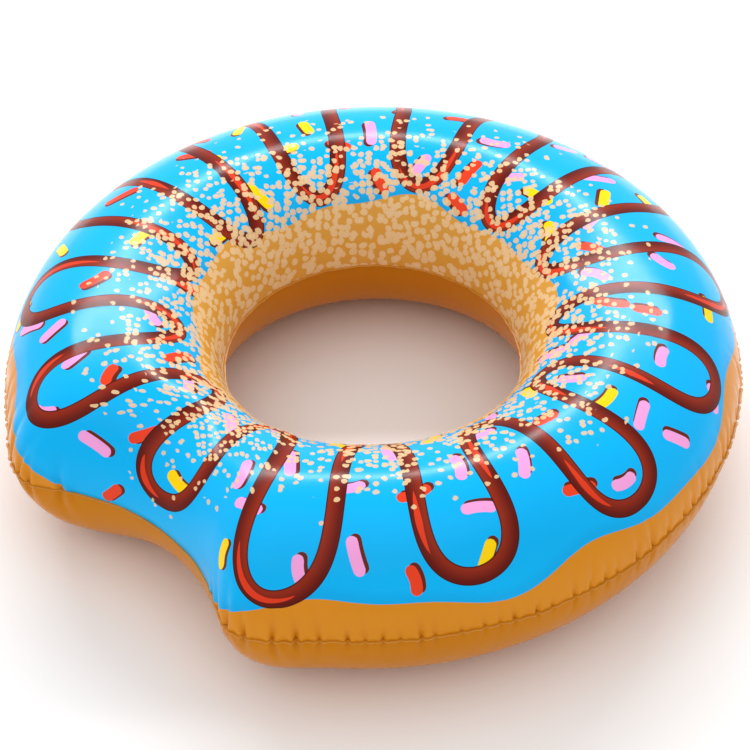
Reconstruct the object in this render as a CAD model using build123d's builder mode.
from build123d import *
import math
import os

# An inflatable swim ring, shaped like an iced ring cake with one bite out of its rim.
# Millimetres. The origin is the ring's centre on the surface that it rests on, with +Z up.
# Two films are welded to each other along an outer and an inner seam, and a push-in
# valve sits in the lower film.

# ---- the inflated ring -----------------------------------------------------------
outer_radius = 430.0  # outer weld seam, away from the bite
inner_radius = 176.0  # inner weld seam, round the hole
film = 0.6  # wall of each film, thicker than the real 0.3 so that it meshes soundly
top_rise = 0.86  # height of the upper half of the tube over its half width
bottom_drop = 0.99  # depth of the lower half of the tube over its half width
rest_flat = 0.4  # how much the underside flattens where it rests
fin_width = 3.0  # trimmed edge outside each weld
fin_thickness = 1.2

# ---- the bite --------------------------------------------------------------------
bite_angle = 226.5  # direction of its middle, in degrees round from +X
bite_centre = 587.0  # the scoop is an arc about this point, out from the ring's centre
bite_radius = 234.0
corner_blend = 15.0  # how softly the scoop meets the rim
corner_swell = {-1: 9.0, 1: 14.0}  # how far the two corners puff out past the rim
corner_angle = 25.8  # where they puff out, each side of the middle
corner_spread = 6.3
bite_half_span = 42.0  # past this the rim is a plain circle
bite_step = 3.0  # between neighbouring cross sections
join_tolerance = 0.01  # between the turned rim and the lofted bite
bite_dip = 0.22  # share of its height that the tube loses at the middle of the bite
bite_dip_spread = 16.0  # how far round from there the loss fades, in degrees

# ---- the valve -------------------------------------------------------------------
valve_below_seam = 40.0  # degrees down the tube's outer flank, at the back (+Y)
flange_radius = 18.0
flange_thickness = 2.2
flange_opening = 11.5
cuff_wall = 0.8
cuff_depth = 14.0
cuff_foot_radius = 8.5
stem_radius = 5.5
stem_bore = 4.0
stem_length = 20.0
stem_clearance = 0.3
stem_round = 0.4
plug_fit = 0.1  # gap between the plug and the bore at the mouth
plug_depth = 4.0
plug_tip = 3.0
plug_taper = math.degrees(math.atan((stem_bore - plug_fit - plug_tip) / plug_depth))
cap_radius = 6.6
cap_thickness = 2.0
cap_round = 0.6
cap_gap = 0.05
hinge_offset = 9.5  # from the stem's axis to the strap's fold
strap_width = 5.0
strap_thickness = 0.9
tab_width = 6.0
tab_reach = 9.4
collar_radius = 6.5
collar_height = 2.4
flap_radius = 4.8
flap_thickness = 0.5
flap_hinge = 5.0  # from the stem's axis to the flap's root
flap_gap = 0.1

tube_centre = (outer_radius + inner_radius) / 2
tube_half_width = (outer_radius - inner_radius) / 2
seam_height = tube_half_width * bottom_drop - rest_flat


def rim_radius(angle):
    """The outer seam's distance from the centre, in the direction of an angle in degrees."""
    away = (angle - bite_angle + 180) % 360 - 180
    side = 1 if away > 0 else -1
    across = bite_centre * math.sin(math.radians(away))
    reach = bite_radius**2 - across**2
    if abs(away) > 90 or reach <= 0:
        cut = outer_radius * 2
    else:
        cut = bite_centre * math.cos(math.radians(away)) - math.sqrt(reach)
    nearest = min(cut, outer_radius)
    blended = nearest - corner_blend * math.log1p(math.exp(-abs(cut - outer_radius) / corner_blend))
    swell = corner_swell[side] * math.exp(-(((abs(away) - corner_angle) / corner_spread) ** 2))
    return blended + swell


def section_plane(angle):
    """A plane through the ring's axis, with x outwards, y up and its origin at seam height."""
    turn = math.radians(angle)
    return Plane(
        origin=(0, 0, seam_height),
        x_dir=(math.cos(turn), math.sin(turn), 0),
        z_dir=(math.sin(turn), -math.cos(turn), 0),
    )


def film_section(angle, half_height):
    """One film's cross section: half an elliptical band, upwards or downwards."""
    width = (rim_radius(angle) - inner_radius) / 2
    dip = bite_dip * math.exp(-(((angle - bite_angle) / bite_dip_spread) ** 2))
    height = half_height * tube_half_width * (1 - dip)
    middle = (inner_radius + width, 0)
    start = 0 if height > 0 else 180
    with BuildSketch(section_plane(angle)) as section:
        with BuildLine():
            outside = EllipticalCenterArc(middle, width, abs(height), start, arc_size=180)
            inside = EllipticalCenterArc(middle, width - film, abs(height) - film, start, arc_size=180)
            Line(outside @ 0, inside @ 0)
            Line(outside @ 1, inside @ 1)
        make_face()
    return section.sketch


def fin_section(angle, seam_radius, width):
    """The cross section of a trimmed weld edge, outwards from a seam."""
    with BuildSketch(section_plane(angle)) as section:
        with Locations((seam_radius + width / 2, 0)):
            Rectangle(abs(width), fin_thickness)
    return section.sketch


def whole_ring(section):
    """A ring of one changing cross section: turned round the rim, and lofted through the bite."""
    with BuildPart() as rim:
        revolve(section(plain_start), Axis.Z, plain_arc)
    with BuildPart() as bite:
        loft([section(angle) for angle in bite_sections])
    return rim.part.fuse(bite.part, tol=join_tolerance)


plain_start = bite_angle + bite_half_span
plain_arc = 360 - 2 * bite_half_span
bite_steps = round(2 * bite_half_span / bite_step)
bite_sections = [bite_angle - bite_half_span + bite_step * i for i in range(bite_steps + 1)]

# The valve's own plane: origin on the lower film, x along the ring, z out of the film.
flank = math.radians(valve_below_seam)
flank_height = tube_half_width * bottom_drop
slope = Vector(0, math.cos(flank) / tube_half_width, -math.sin(flank) / flank_height)
valve_point = (
    0,
    tube_centre + tube_half_width * math.cos(flank),
    seam_height - flank_height * math.sin(flank),
)
valve_plane = Plane(origin=valve_point, x_dir=(1, 0, 0), z_dir=slope)
valve_axis = Axis(valve_plane.origin, valve_plane.z_dir)
valve_profile = Plane(origin=valve_point, x_dir=(1, 0, 0), z_dir=-valve_plane.y_dir)

# ---- films -----------------------------------------------------------------------
upper_film = whole_ring(lambda angle: film_section(angle, top_rise))
lower_film = whole_ring(lambda angle: film_section(angle, -bottom_drop))

with BuildPart() as top_panel:
    add(upper_film)

with BuildPart() as bottom_panel:
    add(lower_film)
    # the narrow ring that it stands on
    split(bisect_by=Plane.XY, keep=Keep.TOP)
    # the window that the valve's flange is welded into
    with BuildSketch(valve_plane):
        Circle(flange_radius)
    extrude(amount=flange_radius, both=True, mode=Mode.SUBTRACT)

# ---- weld seams ------------------------------------------------------------------
outer_edge = whole_ring(lambda angle: fin_section(angle, rim_radius(angle), fin_width))

with BuildPart() as outer_seam:
    add(outer_edge)

with BuildPart() as inner_seam:
    revolve(fin_section(0, inner_radius, -fin_width), Axis.Z)

# ---- valve -----------------------------------------------------------------------
with BuildPart() as valve_flange:
    with BuildSketch(valve_plane):
        Circle(flange_radius)
        Circle(flange_opening, mode=Mode.SUBTRACT)
    extrude(amount=-flange_thickness)

with BuildPart() as valve_cuff:
    with BuildSketch(valve_profile):
        with BuildLine():
            Polyline(
                (flange_opening, -flange_thickness),
                (flange_opening - cuff_wall, -flange_thickness),
                (cuff_foot_radius - cuff_wall, cuff_wall - cuff_depth),
                (stem_radius + stem_clearance, cuff_wall - cuff_depth),
                (stem_radius + stem_clearance, -cuff_depth),
                (cuff_foot_radius, -cuff_depth),
                close=True,
            )
        make_face()
    revolve(axis=valve_axis)

with BuildPart() as valve_stem:
    with BuildSketch(valve_plane):
        Circle(stem_radius)
        Circle(stem_bore, mode=Mode.SUBTRACT)
    extrude(amount=-stem_length)
    rims = valve_stem.edges().filter_by(GeomType.CIRCLE).group_by(SortBy.RADIUS)[-1]
    fillet(rims, radius=stem_round)

with BuildPart() as stopper_tether:
    with BuildSketch(valve_plane.offset(-strap_thickness - collar_height)):
        Circle(collar_radius)
        Circle(stem_radius, mode=Mode.SUBTRACT)
    extrude(amount=collar_height)
    with BuildSketch(valve_plane.offset(-strap_thickness - flap_gap)):
        with Locations((0, -(hinge_offset + stem_radius) / 2)):
            Rectangle(strap_width, hinge_offset - stem_radius - 2 * flap_gap)
        Circle(stem_radius + flap_gap, mode=Mode.SUBTRACT)
    extrude(amount=strap_thickness)

with BuildPart() as valve_stopper:
    with BuildSketch(valve_plane.offset(cap_gap)):
        Circle(cap_radius)
    extrude(amount=cap_thickness)
    crown = valve_stopper.edges().filter_by(GeomType.CIRCLE).sort_by(valve_axis)[-1]
    fillet(crown, radius=cap_round)
    with BuildSketch(valve_plane.offset(cap_gap)):
        with Locations((0, -hinge_offset / 2)):
            Rectangle(strap_width, hinge_offset)
        with Locations((0, tab_reach / 2)):
            Rectangle(tab_width, tab_reach)
    extrude(amount=strap_thickness)
    with BuildSketch(valve_plane.offset(cap_gap)):
        Circle(stem_bore - plug_fit)
    extrude(amount=-plug_depth - cap_gap, taper=plug_taper)

with BuildPart() as check_flap:
    with BuildSketch(valve_plane.offset(-stem_length - flap_gap)):
        Circle(flap_radius)
        with Locations((0, -flap_hinge / 2)):
            Rectangle(strap_width, flap_hinge)
    extrude(amount=-flap_thickness)

parts = {
    "top_panel": top_panel,
    "bottom_panel": bottom_panel,
    "outer_weld_seam": outer_seam,
    "inner_weld_seam": inner_seam,
    "valve_flange": valve_flange,
    "valve_cuff": valve_cuff,
    "valve_stem": valve_stem,
    "stopper_tether": stopper_tether,
    "valve_stopper": valve_stopper,
    "check_flap": check_flap,
}
os.makedirs("parts", exist_ok=True)
for name, built in parts.items():
    built.part.label = name
    export_step(built.part, f"parts/{name}.step")
